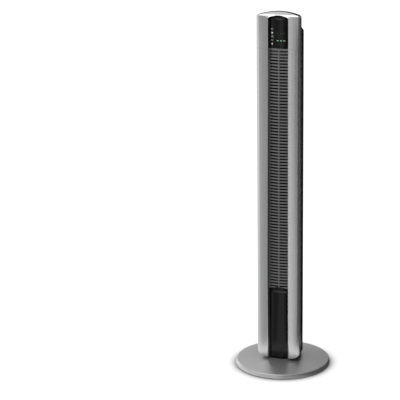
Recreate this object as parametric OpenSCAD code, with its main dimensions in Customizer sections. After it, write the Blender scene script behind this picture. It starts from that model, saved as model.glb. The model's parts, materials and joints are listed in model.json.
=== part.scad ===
// Oscillating tower fan: round two-part base, swivelling column, cross-flow blower,
// louvred outlet strip and a control head with five push buttons.
// Millimetres. Origin on the floor under the swivel axis, +Z up, the outlet faces -Y.

/* [Base] */
// Radius of the base at its lower edge
base_r = 160; // [140:1:190]
// Height of the base's side wall
base_side_h = 12.5; // [8:0.5:20]
// How far the side wall leans in over its height
base_side_lean = 2.7; // [0.5:0.1:5]
// Rise of the dome from the side wall's top edge to its crown
base_dome_h = 17.5; // [12:0.5:26]
// Wall of the two base shells
base_wall = 3; // [2:0.1:4]
// Rounding inside the base's upper edge; outside it is one wall larger
base_edge_in_r = 1; // [0.5:0.5:3]
// Joint line between the front and rear half
base_seam = 0.3; // [0.1:0.1:0.6]
// Height of the rubber feet
foot_h = 3; // [2:0.5:6]
// Radius of the rubber feet
foot_r = 9; // [6:0.5:12]
// Radius of the circle that the feet stand on
feet_circle_r = 138; // [120:1:160]
// Number of stiffening ribs under each half
base_ribs = 7; // [3:1:11]
// Thickness of the stiffening ribs
rib_t = 2.2; // [1.5:0.1:3]

/* [Swivel] */
// Radius of the hub's neck, which passes through the base
neck_r = 52; // [46:1:60]
// How far the neck's top stands over the dome's crown
neck_rise = 2; // [1:0.5:5]
// Width of the hub's flange under the dome
hub_flange_w = 17; // [12:1:24]
// Thickness of the hub's flange and floors
hub_plate_t = 3.5; // [2.5:0.1:5]
// Radius of the hollow spigot that the column turns on
spigot_r = 13; // [11:0.5:16]
// Radius of the wire way through the spigot
wire_way_r = 7; // [4:0.5:8]
// Thickness of the thrust washer
washer_t = 2.4; // [1.5:0.1:4]
// Radial wall of the swivel bush
bush_wall = 3; // [2:0.1:4]
// Running clearance on radius between spigot and bush
running_gap = 0.05; // [0.02:0.01:0.1]
// Module of the swing gears
gear_module = 1.5; // [1.2:0.1:1.8]
// Teeth that a full circle of the fixed sector would have
sector_teeth = 40; // [36:1:44]
// Teeth of the drive pinion
pinion_teeth = 12; // [11:1:14]
// Teeth cut on each side of the sector's middle tooth
sector_half_teeth = 6; // [6:1:8]
// Face width of the gears
gear_w = 6; // [4:0.5:8]
// Play between the teeth, measured along the pitch circle
backlash = 0.3; // [0.2:0.05:0.5]

/* [Column] */
// Gap between the base's crown and the column's lower edge
column_gap = 5; // [3:0.5:8]
// Height of the column
column_h = 1181; // [1140:1:1240]
// Width across the silver front
column_w = 148.4; // [144:0.2:150]
// Distance from the swivel axis to the front
front_y = 60.5; // [58:0.5:64]
// Radius of the front's shallow curve
front_arc_r = 400; // [380:10:440]
// Half width of the shallow curve
front_arc_half = 60.3; // [60:0.1:61]
// Radius of the curves on each side of it
shoulder_arc_r = 80; // [76:1:90]
// Radius of the column's lower corners, seen from the front
foot_corner_r = 27; // [20:1:30]
// Radius of the front's vertical corners
corner_r = 4; // [3.5:0.1:5]
// Distance from the axis forward to the middle of those corners
corner_y = 49.8; // [49.4:0.1:50]
// Distance from the axis forward to the joint between front and rear mouldings
parting_y = 43.5; // [43:0.1:45]
// How far the sides draw in from the corners to that joint
side_return = 1.4; // [1:0.1:2]
// How far the rear moulding stands in from the front one
rear_step = 1.5; // [0.8:0.1:2]
// Radius of the rounded back
rear_r = 66; // [64:0.5:67]
// Distance from the swivel axis back to the centre of the rounded back
rear_y = 7.3; // [6:0.1:9]
// Wall of the column's mouldings
wall = 2.6; // [2:0.1:3.2]
// Fitting gap between mouldings
fit_gap = 0.3; // [0.2:0.05:0.4]

/* [Front strip] */
// Width of the recessed strip down the front, at its bottom
strip_w = 65; // [62:1:66]
// How much wider the strip's opening is on each side at the front
strip_flare = 1.5; // [0.5:0.1:2]
// Distance from the axis to the strip's crown
strip_y = 52; // [50:0.5:54]
// Radius of the strip's bulge
strip_arc_r = 110; // [100:1:140]
// Thickness of the control panel and the lower panel
panel_t = 2.5; // [2:0.1:3]
// Width of the ledge that the strip's pieces rest on
ledge_w = 5; // [3:0.5:7]
// Depth of the arched recess above each panel
arch_recess = 4.8; // [3:0.2:6]
// Height of the bevel under each recess
arch_bevel_h = 5; // [3:0.5:7]
// Rise of the arch in the middle
arch_rise = 7; // [4:0.5:10]
// Height of the bevel's foot on the lower panel, over the floor
lower_panel_z = 270; // [250:1:300]
// Height of the recess over the lower panel, at its sides
recess_h = 11; // [8:0.5:14]

/* [Outlet grille] */
// Height of the lowest open slot's centre over the ends of the arch under it
slot_rise = 10; // [6:0.5:16]
// Distance from slot to slot
slot_pitch = 10.26; // [10.1:0.01:10.3]
// Number of blind grooves above the open rows
blind_rows = 3; // [2:1:3]
// Height of an open slot
slot_h = 5.5; // [4.5:0.1:6.5]
// Depth of the louvre bars
bar_depth = 6; // [4:0.5:8]
// Depth of the blind grooves
blind_depth = 1.6; // [1:0.1:3]
// Width of the upright rib in the middle
mid_rib_w = 3.6; // [2.5:0.1:5]
// Width of the side rails
side_rail_w = 1.9; // [1.5:0.1:3]

/* [Head] */
// Height of the head, from the joint under it to the column's top
head_h = 118; // [115:0.5:120]
// Height of the front's upper edge over the head's joint
head_front_h = 101; // [98:0.5:103]
// Distance from the axis forward to the brow's lower edge
brow_front_y = 58.5; // [57:0.5:60]
// Distance from the axis forward to the ridge, where the head's front and back meet
ridge_y = 40; // [39:0.5:42]
// Radius of the brow's bulge
brow_r = 60; // [50:1:80]
// Radius of the crown across the head's top
crown_r = 200; // [180:1:260]
// Slope of the crown behind the ridge, in degrees
crown_slope = 8; // [4:1:10]
// Distance from the axis forward to the back of the head
head_back_y = 22; // [20:0.5:24]
// Height of the bevel's foot on the control panel over the head's joint
panel_top_h = 94; // [90:0.5:96]

/* [Rear shoulder] */
// Height of the joint under the shoulder piece over the head's joint
shoulder_rise = 29; // [25:1:33]
// Height of the shoulder piece
shoulder_h = 32; // [28:1:36]
// Height of the shoulder's sloping edge, where it starts on the rounded back
shoulder_bevel_h = 13; // [8:1:16]
// How far the shoulder slopes in
shoulder_bevel_w = 9; // [5:1:12]
// Width of the pocket for the remote control
pocket_w = 54; // [48:1:56]
// Depth of the pocket from front to back
pocket_d = 26; // [22:1:28]
// Height of the pocket
pocket_h = 50; // [40:1:52]
// Distance from the axis back to the pocket's middle
pocket_y = 0; // [-2:1:6]

/* [Intake grille] */
// Height of the intake grille's lower end over the lower bulkhead
intake_rise = 13; // [9:1:27]
// Distance from the head's joint down to the intake grille's upper end
intake_drop = 49; // [48:1:90]
// Half of the angle that the intake grille spans
intake_half_deg = 50; // [40:1:52]
// Bands of slots one above the other
intake_bands = 8; // [4:1:10]
// Slots side by side in one band
intake_slots = 15; // [9:2:17]
// Width of one slot
intake_slot_w = 3.6; // [2.5:0.1:4.5]
// Slant of the slots, so that no straight look goes in, in degrees
intake_slant = 36; // [0:1:40]
// Height of the cross bars between bands
intake_bar_h = 7; // [5:0.5:10]

/* [Blower] */
// Radius of the blower wheel
wheel_r = 42; // [38:0.5:44]
// Radial depth of the blades
blade_depth = 9; // [7:0.5:12]
// Number of blades
blade_count = 24; // [16:1:30]
// Thickness of a blade at its middle
blade_t = 1.1; // [0.8:0.1:1.6]
// Stages of the wheel between its rings
wheel_stages = 8; // [4:1:10]
// Thickness of a ring
ring_t = 2; // [1.5:0.1:3]
// Distance from the head's joint down to the blower wheel's top
wheel_drop = 48; // [46:1:100]
// Height of the wheel's lower end over the lower bulkhead's underside
wheel_lift = 8; // [6:0.5:12]
// Radius of the drive shaft and the top axle
shaft_r = 4; // [3:0.5:5]
// Distance from wheel to duct wall where they are closest
duct_gap = 3; // [2.5:0.1:5]
// Thickness of the duct walls and bulkheads
duct_t = 2.5; // [2:0.1:3]

/* [Motor] */
// Radius of the blower motor
motor_r = 40; // [34:1:44]
// Height of the blower motor
motor_h = 56; // [44:1:64]
// Distance from the lower bulkhead down to the motor
motor_drop = 14; // [12:1:20]
// Radius of the swing motor
swing_motor_r = 25; // [20:1:28]
// Height of the swing motor
swing_motor_h = 18; // [14:1:22]

/* [Electrics] */
// Width of the power board
power_board_w = 64; // [54:1:70]
// Height of the power board
power_board_h = 90; // [86:1:110]
// Width of the run capacitor
capacitor_w = 38; // [30:1:44]
// Depth of the run capacitor
capacitor_d = 18; // [14:1:22]
// Height of the run capacitor
capacitor_h = 28; // [22:1:32]
// Width of the ioniser module
ioniser_w = 48; // [36:1:54]
// Depth of the ioniser module
ioniser_d = 20; // [14:1:24]
// Height of the ioniser module
ioniser_h = 18; // [12:1:24]

/* [Controls] */
// Radius of a push button
button_r = 4.3; // [3.6:0.1:4.6]
// Distance from button to button
button_pitch = 11.9; // [11:0.1:12.5]
// Distance from the middle of the panel to the buttons
button_x = 21.5; // [20:0.5:22]
// Height of the lowest button over the head's joint
button_h0 = 15; // [13:0.5:17]
// Travel of a button
button_travel = 1; // [0.5:0.1:1.5]
// How far a button stands proud
button_proud = 0.8; // [0.4:0.1:1.5]
// Running gap round a button
button_gap = 0.3; // [0.2:0.05:0.4]
// Width of the display window
display_w = 34; // [30:1:36]
// Height of the display window
display_h = 50; // [44:1:54]
// Distance from the axis forward to the circuit board's face
board_y = 38; // [36:0.5:39]

/* [Hidden] */

$fn = 96;

// Height of the top of each thing, working up from the floor
base_rim_z = foot_h + base_side_h;
base_rim_r = base_r - base_side_lean;
base_top_z = base_rim_z + base_dome_h;
dome_r = (base_rim_r * base_rim_r + base_dome_h * base_dome_h) / (2 * base_dome_h);
dome_cz = base_top_z - dome_r;
neck_z = base_top_z + neck_rise;
column_z = base_top_z + column_gap;
column_top_z = column_z + column_h;
head_z = column_top_z - head_h;
shoulder_z = head_z + shoulder_rise;

// Centre of the base's rounded upper edge in radius and height, one radius in from side and dome
base_edge_r = base_wall + base_edge_in_r;
side_deg = atan(base_side_lean / base_side_h);
edge_line_r = base_rim_r - base_edge_r / cos(side_deg);
edge_rise = base_rim_z - dome_cz;
edge_b = edge_rise - edge_line_r * tan(side_deg);
edge_c = edge_line_r * edge_line_r + edge_rise * edge_rise - pow(dome_r - base_edge_r, 2);
edge_drop = (edge_b - sqrt(edge_b * edge_b - edge_c / pow(cos(side_deg), 2))) * pow(cos(side_deg), 2);
base_edge = [edge_line_r + edge_drop * tan(side_deg), base_rim_z - edge_drop];

// A hair of overlap, so that two arcs cross cleanly instead of only touching
kiss = 0.05;
// Reach of a cutting body that has to run past a face
past = 1;

// Places across the column
half_w = column_w / 2;
side_half_w = half_w - side_return;
rear_half_w = side_half_w - rear_step;
front_cy = front_arc_r - front_y;
shoulder_deg = asin(front_arc_half / front_arc_r);
shoulder_cx = front_arc_half - shoulder_arc_r * sin(shoulder_deg);
shoulder_cy = front_cy - (front_arc_r - shoulder_arc_r) * cos(shoulder_deg) - 2 * kiss;
strip_half = strip_w / 2;
strip_back_y = 41.5;
web_h = 30;
strip_cy = strip_arc_r - strip_y;
panel_back_r = strip_arc_r - panel_t;

// Heights up the strip
grille_top_z = head_z - fit_gap / 2;
head_floor_z = head_z + fit_gap / 2;
arch_side_z = lower_panel_z + recess_h;
arch_r = (strip_half * strip_half + arch_rise * arch_rise) / (2 * arch_rise);
panel_top_z = head_z + panel_top_h;
brow_z = head_z + head_front_h;
bar_h = slot_pitch - slot_h;
slot_z0 = arch_side_z + slot_rise;
slot_rows = floor((grille_top_z - slot_z0) / slot_pitch + 0.5 - blind_rows);

// Blower
lower_bulkhead_z = arch_side_z + 2;
wheel_z = lower_bulkhead_z + wheel_lift;
wheel_top_z = head_z - wheel_drop;
wheel_h = wheel_top_z - wheel_z;
wheel_hub_l = 14;
shaft_reach = wheel_hub_l - 0.5;
upper_bulkhead_z = wheel_top_z + wheel_lift - duct_t;
motor_z = lower_bulkhead_z - motor_drop - motor_h;
intake_z0 = lower_bulkhead_z + intake_rise;
intake_h = head_z - intake_drop - intake_z0;
bearing_h = 10;
bush_r = shaft_r + running_gap + 3;
cushion_w = 5;
bearing_wall = 2.5;

// Swivel stack
washer_z = neck_z - 0.6;
foot_z = washer_z + washer_t + 0.2;
foot_t = 3.5;
gear_z = foot_z + 15;
gear_seat_r = spigot_r - 3;
centre_distance = gear_module * (sector_teeth + pinion_teeth) / 2;
bracket_z = gear_z + gear_w + 5;
bracket_t = 3;
pinion_shaft_r = 3.5;
foot_boss_r = spigot_r + running_gap + bush_wall + 3;

// Screws
screw_shaft_r = 1.8;
screw_head_r = 3.4;
screw_head_h = 2.4;
screw_clear = 0.2;
small_shaft_r = 1.3;
small_head_r = 2.4;
small_head_h = 1.6;
board_screw_r = 1.15;
board_screw_l = 7;
boss_r = 4.5;
column_screw_x = 59.5;
front_screw_edge = 3;
back_screw_edge = 3.5;
column_screw_y = 10;
low_screw_rise = 32;
duct_screw_inset = 60;
column_screw_z = [column_z + low_screw_rise, arch_side_z + duct_screw_inset,
    (arch_side_z + head_z) / 2, head_z - duct_screw_inset];
column_screw_l = 20;
front_boss_y = front_y - 6;
base_screw_count = 6;
base_screw_circle_r = neck_r + hub_flange_w / 2 + 1;
base_screw_offset_deg = 30;

// Controls
button_flange = 1.2;
button_flange_t = 1.4;
board_t = 1.6;
board_w = 56;
board_h = 78;
receiver_x = 8;
receiver_h0 = 66;
board_z = head_z + 2;
switch_h = 3.5;
display_x = 5;
display_h0 = 8;
light_xs = [-3.3, 7.6, 18.3];
light_heights = [25.6, 49];

silver = "silver";
dark = [0.12, 0.12, 0.13];
grey = [0.45, 0.46, 0.48];
white = [0.92, 0.92, 0.9];
steel = [0.65, 0.66, 0.68];
green = [0.1, 0.4, 0.2];
bronze = [0.72, 0.55, 0.3];

// ---------------------------------------------------------------- outlines

// Plan of the front moulding: shallow curve, rounder shoulders and tight corners, cut off at y = back.
module front_outline(inset = 0, back = -parting_y) {
    corner_cx = half_w - corner_r;
    deep = front_y + past + back;
    intersection() {
        translate([0, front_cy]) circle(r = front_arc_r - inset, $fn = 1440);
        union() {
            translate([-front_arc_half, -front_y - past]) square([2 * front_arc_half, deep]);
            for (side = [-1, 1]) translate([side * shoulder_cx, shoulder_cy])
                circle(r = shoulder_arc_r - inset, $fn = 360);
        }
        union() {
            translate([-corner_cx, -front_y - past]) square([2 * corner_cx, deep]);
            for (side = [-1, 1]) translate([side * corner_cx, -corner_y]) circle(r = corner_r - inset);
            polygon([[-half_w + inset, -corner_y], [half_w - inset, -corner_y],
                [side_half_w - inset, -parting_y], [side_half_w - inset, 0],
                [-side_half_w + inset, 0], [-side_half_w + inset, -parting_y]]);
        }
        translate([-half_w, -front_y - past]) square([column_w, deep]);
    }
}

// Plan of the opening for the strip, which flares towards the front.
module strip_opening(grow = 0) {
    lip = strip_half + strip_flare + grow;
    deep = strip_half + grow;
    polygon([[-lip, -front_y - past], [lip, -front_y - past],
        [deep, -strip_back_y], [-deep, -strip_back_y]]);
}

// Angle on a circle of radius r about [0, rear_y] where a line from [x, y] touches it.
function touch_deg(x, y, r) = atan2(y - rear_y, x) + acos(r / norm([x, y - rear_y]));

// How far the rear moulding's inner face stands from the middle, at depth y.
function rear_inner_x(y) =
    let (x0 = rear_half_w - wall, r = rear_r - wall, turn = touch_deg(x0, -parting_y, r))
    let (x1 = r * cos(turn), y1 = rear_y + r * sin(turn))
    y > y1 ? sqrt(r ^ 2 - (y - rear_y) ^ 2) : x0 + (x1 - x0) * (y + parting_y) / (y1 + parting_y);

// Plan of the rear moulding: straight sides that run into a rounded back.
module rear_outline(inset = 0, front = -parting_y) {
    r = rear_r - inset;
    line_r = r - kiss;
    x0 = rear_half_w - inset;
    turn = touch_deg(x0, front, line_r);
    x1 = line_r * cos(turn);
    y1 = rear_y + line_r * sin(turn);
    polygon([[-x0, front], [x0, front], [x1, y1], [-x1, y1]]);
    translate([0, rear_y]) circle(r = r);
}

// Plan of everything inside the column, kept clear of the walls and of the strip in front.
module inner_outline(inset = wall + fit_gap, front = -parting_y + 3) {
    intersection() {
        rear_outline(inset);
        translate([-half_w, front]) square([column_w, rear_y + rear_r - front]);
    }
}

// A ring-shaped slice of the strip between two radii about the strip's own axis.
module strip_slice(r_in, r_out, z0, z1, half) {
    intersection() {
        translate([0, strip_cy, z0]) difference() {
            cylinder(r = r_out, h = z1 - z0, $fn = 180);
            translate([0, 0, -past]) cylinder(r = r_in, h = z1 - z0 + 2 * past, $fn = 180);
        }
        translate([-half, -strip_arc_r, z0]) cube([2 * half, strip_arc_r, z1 - z0]);
    }
}

// A profile in radius and height, revolved about the strip's own axis over the strip's width.
module strip_revolve() {
    spread = 2 * asin(strip_w / strip_arc_r);
    translate([0, strip_cy, 0]) rotate(-90 - spread / 2)
        rotate_extrude(angle = spread, $fn = 360) children();
}

// A front view in x and z, drawn right through the strip from front to back.
module through_strip() {
    translate([0, -strip_arc_r / 4, 0]) rotate([90, 0, 0]) linear_extrude(strip_arc_r / 2) children();
}

// Front view up to an arched top, its ends at height side_z.
module below_arch(half, z0, side_z, gap = 0) {
    intersection() {
        translate([-half, z0]) square([2 * half, side_z + arch_rise - z0]);
        union() {
            translate([-half, z0]) square([2 * half, side_z - gap - z0]);
            intersection() {
                translate([0, side_z + arch_rise - arch_r]) circle(r = arch_r - gap, $fn = 180);
                translate([-half, side_z - gap - past]) square([2 * half, arch_rise + 2 * past]);
            }
        }
    }
}

// ---------------------------------------------------------------- base

// The solid that both base halves are shelled from, drawn in by inset: a shallow dome over a
// leaning side, with the edge between them rounded.
module dome(inset = 0) {
    side_r = base_r - inset / cos(side_deg);
    rotate_extrude($fn = 180) intersection() {
        translate([0, dome_cz]) circle(r = dome_r - inset, $fn = 360);
        polygon([[0, foot_h], [side_r, foot_h], [side_r - base_top_z * tan(side_deg), foot_h + base_top_z],
            [0, foot_h + base_top_z]]);
        union() {
            square([base_edge[0], base_top_z + past]);
            square([base_r, base_edge[1]]);
            translate(base_edge) circle(r = base_edge_r - inset + kiss, $fn = 60);
        }
    }
}

module base_ribs_under() {
    intersection() {
        dome(base_wall - kiss);
        difference() {
            union() {
                for (i = [0 : base_ribs - 1])
                    rotate((i + 0.5) * 180 / base_ribs)
                        translate([neck_r + hub_flange_w + fit_gap, -rib_t / 2, foot_h + 1])
                            cube([base_r, rib_t, base_top_z]);
                translate([0, 0, foot_h + 1]) difference() {
                    cylinder(r = base_r * 0.66, h = base_top_z);
                    translate([0, 0, -past]) cylinder(r = base_r * 0.66 - rib_t, h = base_top_z + 2 * past);
                }
                for (a = feet_degs) rotate(a) translate([feet_circle_r, 0, foot_h])
                    cylinder(r = foot_r + 1.5, h = base_top_z);
                for (a = base_screw_degs) rotate(a)
                    translate([base_screw_circle_r, 0, flange_top_z + fit_gap / 3])
                        cylinder(r = boss_r, h = base_top_z);
            }
            for (a = base_screw_degs) rotate(a)
                translate([base_screw_circle_r, 0, flange_top_z - past])
                    cylinder(r = screw_shaft_r + running_gap, h = 5 + past);
        }
    }
}

// Rear half; the front half is the same moulding turned round.
feet_degs = [30, 90, 150];
base_screw_degs = [for (i = [0 : base_screw_count / 2 - 1])
    base_screw_offset_deg + i * 360 / base_screw_count];
flange_top_z = base_top_z - base_wall - 7.5;

module base_half() {
    intersection() {
        union() {
            difference() {
                dome();
                translate([0, 0, -kiss]) dome(base_wall);
                cylinder(r = neck_r + fit_gap, h = base_top_z + past);
            }
            base_ribs_under();
        }
        translate([-base_r - past, base_seam / 2, 0])
            cube([2 * (base_r + past), base_r + past, base_top_z + past]);
    }
}

module base_front_half() color(silver) rotate(180) base_half();
module base_rear_half() color(silver) base_half();

module base_feet() color(dark)
    for (turn = [0, 180], a = feet_degs) rotate(turn + a) translate([feet_circle_r, 0, 0])
        union() {
            cylinder(r1 = foot_r - 1, r2 = foot_r, h = 1);
            translate([0, 0, 1]) cylinder(r = foot_r, h = foot_h - 1);
        }

module screw(length) {
    cylinder(r = screw_head_r, h = screw_head_h);
    translate([0, 0, screw_head_h - kiss]) cylinder(r = screw_shaft_r, h = length + kiss);
}

module base_screws() color(steel)
    for (turn = [0, 180], a = base_screw_degs)
        rotate(turn + a) translate([base_screw_circle_r, 0, flange_top_z - hub_plate_t - screw_head_h])
            screw(hub_plate_t + 4);

// ---------------------------------------------------------------- swivel

module swivel_hub() color(dark) difference() {
    union() {
        rotate_extrude($fn = 180) polygon([
            [wire_way_r, neck_z - hub_plate_t - 6], [wire_way_r, gear_z + gear_w + 3.5],
            [gear_seat_r, gear_z + gear_w + 3.5], [gear_seat_r, gear_z],
            [spigot_r, gear_z], [spigot_r, washer_z],
            [neck_r - 6, washer_z], [neck_r - 6, neck_z], [neck_r, neck_z],
            [neck_r, flange_top_z], [neck_r + hub_flange_w, flange_top_z],
            [neck_r + hub_flange_w, flange_top_z - hub_plate_t],
            [neck_r - hub_plate_t, flange_top_z - hub_plate_t],
            [neck_r - hub_plate_t, neck_z - hub_plate_t - 0.6],
            [spigot_r + 4, neck_z - hub_plate_t - 0.6], [spigot_r + 4, neck_z - hub_plate_t - 6]]);
        for (i = [0 : 5]) rotate(i * 60)
            translate([spigot_r + 3, -rib_t / 2, flange_top_z - hub_plate_t + 1])
                cube([neck_r - spigot_r - 5, rib_t, neck_z - flange_top_z - 1]);
    }
    for (turn = [0, 180], a = base_screw_degs) rotate(turn + a)
        translate([base_screw_circle_r, 0, flange_top_z - hub_plate_t - past])
            cylinder(r = screw_shaft_r + screw_clear, h = hub_plate_t + 2 * past);
    // groove for the retaining clip
    translate([0, 0, clip_z]) difference() {
        cylinder(r = spigot_r, h = clip_t);
        translate([0, 0, -past]) cylinder(r = gear_seat_r - 1, h = clip_t + 2 * past);
    }
}

clip_z = gear_z + gear_w + 0.2;
clip_t = 1.4;

module thrust_washer() color(white) translate([0, 0, washer_z]) difference() {
    cylinder(r = neck_r - 6 - fit_gap, h = washer_t);
    translate([0, 0, -past]) cylinder(r = spigot_r + fit_gap, h = washer_t + 2 * past);
}

module retaining_clip() color(steel) translate([0, 0, clip_z + 0.1]) difference() {
    cylinder(r = gear_seat_r + 3, h = clip_t - 0.2);
    translate([0, 0, -past]) cylinder(r = gear_seat_r - 1 + running_gap, h = clip_t + 2 * past);
    translate([0, -2, -past]) cube([2 * spigot_r, 4, clip_t + 2 * past]);
}

// Point of an involute that unrolls from a circle of radius rb, after turning by t radians.
function involute(rb, t) = rb * [cos(t * 180 / PI) + t * sin(t * 180 / PI),
                                 sin(t * 180 / PI) - t * cos(t * 180 / PI)];

pressure_deg = 20;

// Outline of one tooth, centred on +X, from the root circle to the tip.
module tooth(teeth) {
    pitch_r = gear_module * teeth / 2;
    rb = pitch_r * cos(pressure_deg);
    root_r = pitch_r - 1.25 * gear_module;
    tip_r = pitch_r + 0.9 * gear_module;
    t_tip = sqrt(pow(tip_r / rb, 2) - 1);
    half_deg = 90 / teeth - backlash / 4 / pitch_r * 180 / PI
        + (tan(pressure_deg) * 180 / PI - pressure_deg);
    steps = 5;
    flank = [for (i = [0 : steps]) let (p = involute(rb, i * t_tip / steps), a = -half_deg)
        [p[0] * cos(a) - p[1] * sin(a), p[0] * sin(a) + p[1] * cos(a)]];
    foot = (root_r - 0.5) * [cos(half_deg), -sin(half_deg)];
    polygon(concat([foot], flank, [for (i = [steps : -1 : 0]) [flank[i][0], -flank[i][1]]],
        [[foot[0], -foot[1]]]));
}

module fixed_sector_gear() color(white) translate([0, 0, gear_z]) difference() {
    linear_extrude(gear_w) union() {
        circle(r = gear_module * (sector_teeth / 2 - 1.25));
        for (i = [-sector_half_teeth : sector_half_teeth])
            rotate(90 + i * 360 / sector_teeth) tooth(sector_teeth);
    }
    translate([0, 0, -past]) cylinder(r = gear_seat_r + running_gap, h = gear_w + 2 * past);
}

module drive_pinion() color(white) translate([0, centre_distance, 0]) {
    translate([0, 0, gear_z - 0.5]) linear_extrude(gear_w + 1) union() {
        circle(r = gear_module * (pinion_teeth / 2 - 1.25));
        for (i = [0 : pinion_teeth - 1])
            rotate(-90 + (i + 0.5) * 360 / pinion_teeth) tooth(pinion_teeth);
    }
    translate([0, 0, gear_z - 2]) cylinder(r = pinion_shaft_r, h = bracket_z + bracket_t + 5 - gear_z + 2);
}

module column_foot() color(dark) difference() {
    union() {
        translate([0, 0, foot_z]) linear_extrude(foot_t) intersection() {
            inner_outline();
            square([2 * (half_w - foot_corner_r), 4 * rear_r], center = true);
        }
        translate([0, 0, foot_z]) cylinder(r = foot_boss_r, h = gear_z - foot_z - fit_gap);
        for (p = bracket_posts) translate([p[0], p[1], foot_z])
            cylinder(r = boss_r, h = bracket_z - foot_z);
    }
    translate([0, 0, foot_z - past])
        cylinder(r = foot_boss_r - 3 + running_gap, h = gear_z - foot_z + 2 * past);
    for (p = bracket_posts) translate([p[0], p[1], bracket_z - 8])
        cylinder(r = screw_shaft_r + running_gap, h = 8 + past);
}

bracket_near = [34, 18];
bracket_far = [24, centre_distance + 19];
bracket_posts = [for (p = [bracket_near, bracket_far], side = [-1, 1]) [side * p[0], p[1]]];

module swivel_bush() color(white) translate([0, 0, foot_z]) difference() {
    cylinder(r = foot_boss_r - 3, h = gear_z - foot_z - fit_gap);
    translate([0, 0, -past]) cylinder(r = spigot_r + running_gap, h = gear_z - foot_z + 2 * past);
}

module swing_bracket() color(grey) translate([0, 0, bracket_z]) difference() {
    linear_extrude(bracket_t) difference() {
        union() {
            for (p = bracket_posts) translate(p) circle(r = boss_r);
            polygon([for (p = [bracket_near + [3, -4], bracket_far + [4, 3]], side = [-1, 1])
                [side * (p[1] > centre_distance ? -1 : 1) * p[0], p[1]]]);
        }
        circle(r = foot_boss_r);
    }
    translate([0, centre_distance, -past]) cylinder(r = pinion_shaft_r + 1.5, h = bracket_t + 2 * past);
    for (p = bracket_posts) translate([p[0], p[1], -past])
        cylinder(r = screw_shaft_r + screw_clear, h = bracket_t + 2 * past);
}

module swing_motor() color(steel) translate([0, centre_distance, bracket_z + bracket_t]) difference() {
    union() {
        cylinder(r = swing_motor_r, h = swing_motor_h);
        cylinder(r = swing_motor_r + 1.2, h = 1.5);
        translate([-6, 0, swing_motor_h / 3]) cube([12, swing_motor_r - 2, swing_motor_h / 2]);
    }
    translate([0, 0, -past]) cylinder(r = pinion_shaft_r + running_gap, h = 5 + 2 * past);
}

// ---------------------------------------------------------------- column shells

// What the rounding takes off the column's lower corners, drawn through it from front to back.
// With inset it is what lies outside the inner face of the rounded wall.
module foot_corners(inset = 0) {
    for (side = [-1, 1]) scale([side, 1, 1])
        translate([half_w - foot_corner_r, rear_y + rear_r + past, column_z + foot_corner_r - kiss])
            rotate([90, 0, 0]) linear_extrude(front_y + rear_y + rear_r + 2 * past) difference() {
                translate([inset > 0 ? foot_flat : 0, -foot_corner_r - past])
                    square([foot_corner_r + past, foot_corner_r + past]);
                circle(r = foot_corner_r - inset, $fn = 180);
            }
}

// How far the rounding of a lower corner stays under the column's flat lower edge.
foot_flat = sqrt(2 * foot_corner_r * kiss) + kiss;

// Side walls of the strip between two heights.
module strip_sides(z0, z1) {
    translate([0, 0, z0]) linear_extrude(z1 - z0) intersection() {
        front_outline(back = -strip_back_y);
        difference() {
            strip_opening(wall);
            strip_opening();
        }
    }
}

// Curved ledges that the strip's pieces rest on, between two heights.
module strip_ledges(z0, z1) {
    for (side = [-1, 1]) scale([side, 1, 1]) intersection() {
        strip_slice(panel_back_r - wall, panel_back_r - fit_gap / 3, z0, z1, strip_half + wall);
        translate([strip_half - ledge_w, -front_y, z0]) cube([ledge_w + wall, front_y, z1 - z0]);
    }
}

// Plate that closes the back of the strip between two heights.
module strip_web(z0, z1)
    strip_slice(panel_back_r - wall, panel_back_r - fit_gap / 3, z0, z1, strip_half + wall / 2);

module front_cover() color(silver) {
    z0 = column_z;
    z1 = grille_top_z;
    difference() {
        union() {
            difference() {
                translate([0, 0, z0]) linear_extrude(z1 - z0) front_outline();
                translate([0, 0, z0 + wall]) linear_extrude(z1 - z0)
                    front_outline(inset = wall, back = -parting_y + past);
                translate([0, 0, z0 - past]) linear_extrude(z1 - z0 + 2 * past) strip_opening();
            }
            strip_sides(z0, z1);
            strip_ledges(z0, lower_panel_z - arch_bevel_h - 1);
            strip_ledges(arch_side_z + arch_rise / 2, z1);
            strip_web(z0, lower_panel_z - arch_bevel_h - 1);
            strip_web(z1 - web_h, z1);
            intersection() {
                translate([0, 0, z0 + wall - kiss]) linear_extrude(foot_corner_r)
                    front_outline(wall - kiss, -parting_y - kiss);
                foot_corners(wall);
            }
            for (side = [-1, 1], z = column_screw_z)
                translate([side * column_screw_x, -front_boss_y, z]) rotate([-90, 0, 0])
                    cylinder(r = boss_r, h = front_boss_y - column_screw_y);
        }
        foot_corners();
        for (side = [-1, 1], z = column_screw_z)
            translate([side * column_screw_x, -column_screw_y - column_screw_l, z]) rotate([-90, 0, 0])
                cylinder(r = screw_shaft_r + running_gap, h = column_screw_l + past);
    }
}

module rear_shell(z0, z1, closed_top = false) {
    difference() {
        translate([0, 0, z0]) linear_extrude(z1 - z0) intersection() {
            rear_outline();
            translate([-half_w, -parting_y + fit_gap / 2]) square([column_w, parting_y + rear_y + rear_r]);
        }
        translate([0, 0, z0 - past]) linear_extrude(z1 - z0 + (closed_top ? past - wall : 2 * past))
            rear_outline(wall, front = -parting_y - past);
    }
}

// Inner ledge that a bulkhead is screwed to.
module bulkhead_ledge(z) translate([0, 0, z]) linear_extrude(wall) difference() {
    intersection() {
        rear_outline(wall - kiss);
        translate([-half_w, -parting_y + 6]) square([column_w, 2 * rear_r]);
    }
    rear_outline(wall + ledge_w, front = -parting_y - past);
}

// Sector of a ring about the centre of the rounded back, pointing to the rear.
module rear_sector(r_in, r_out, half_deg, h) {
    translate([0, rear_y, 0]) rotate(90 - half_deg) rotate_extrude(angle = 2 * half_deg, $fn = 180)
        translate([r_in, 0]) square([r_out - r_in, h]);
}

cord_hole_rise = 40;
cord_hole_z = column_z + cord_hole_rise;
gland_r = 7;
gland_flange_t = 2.5;
gland_neck_l = 6;
gland_barb = 1.5;
cord_r = 4;

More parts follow.
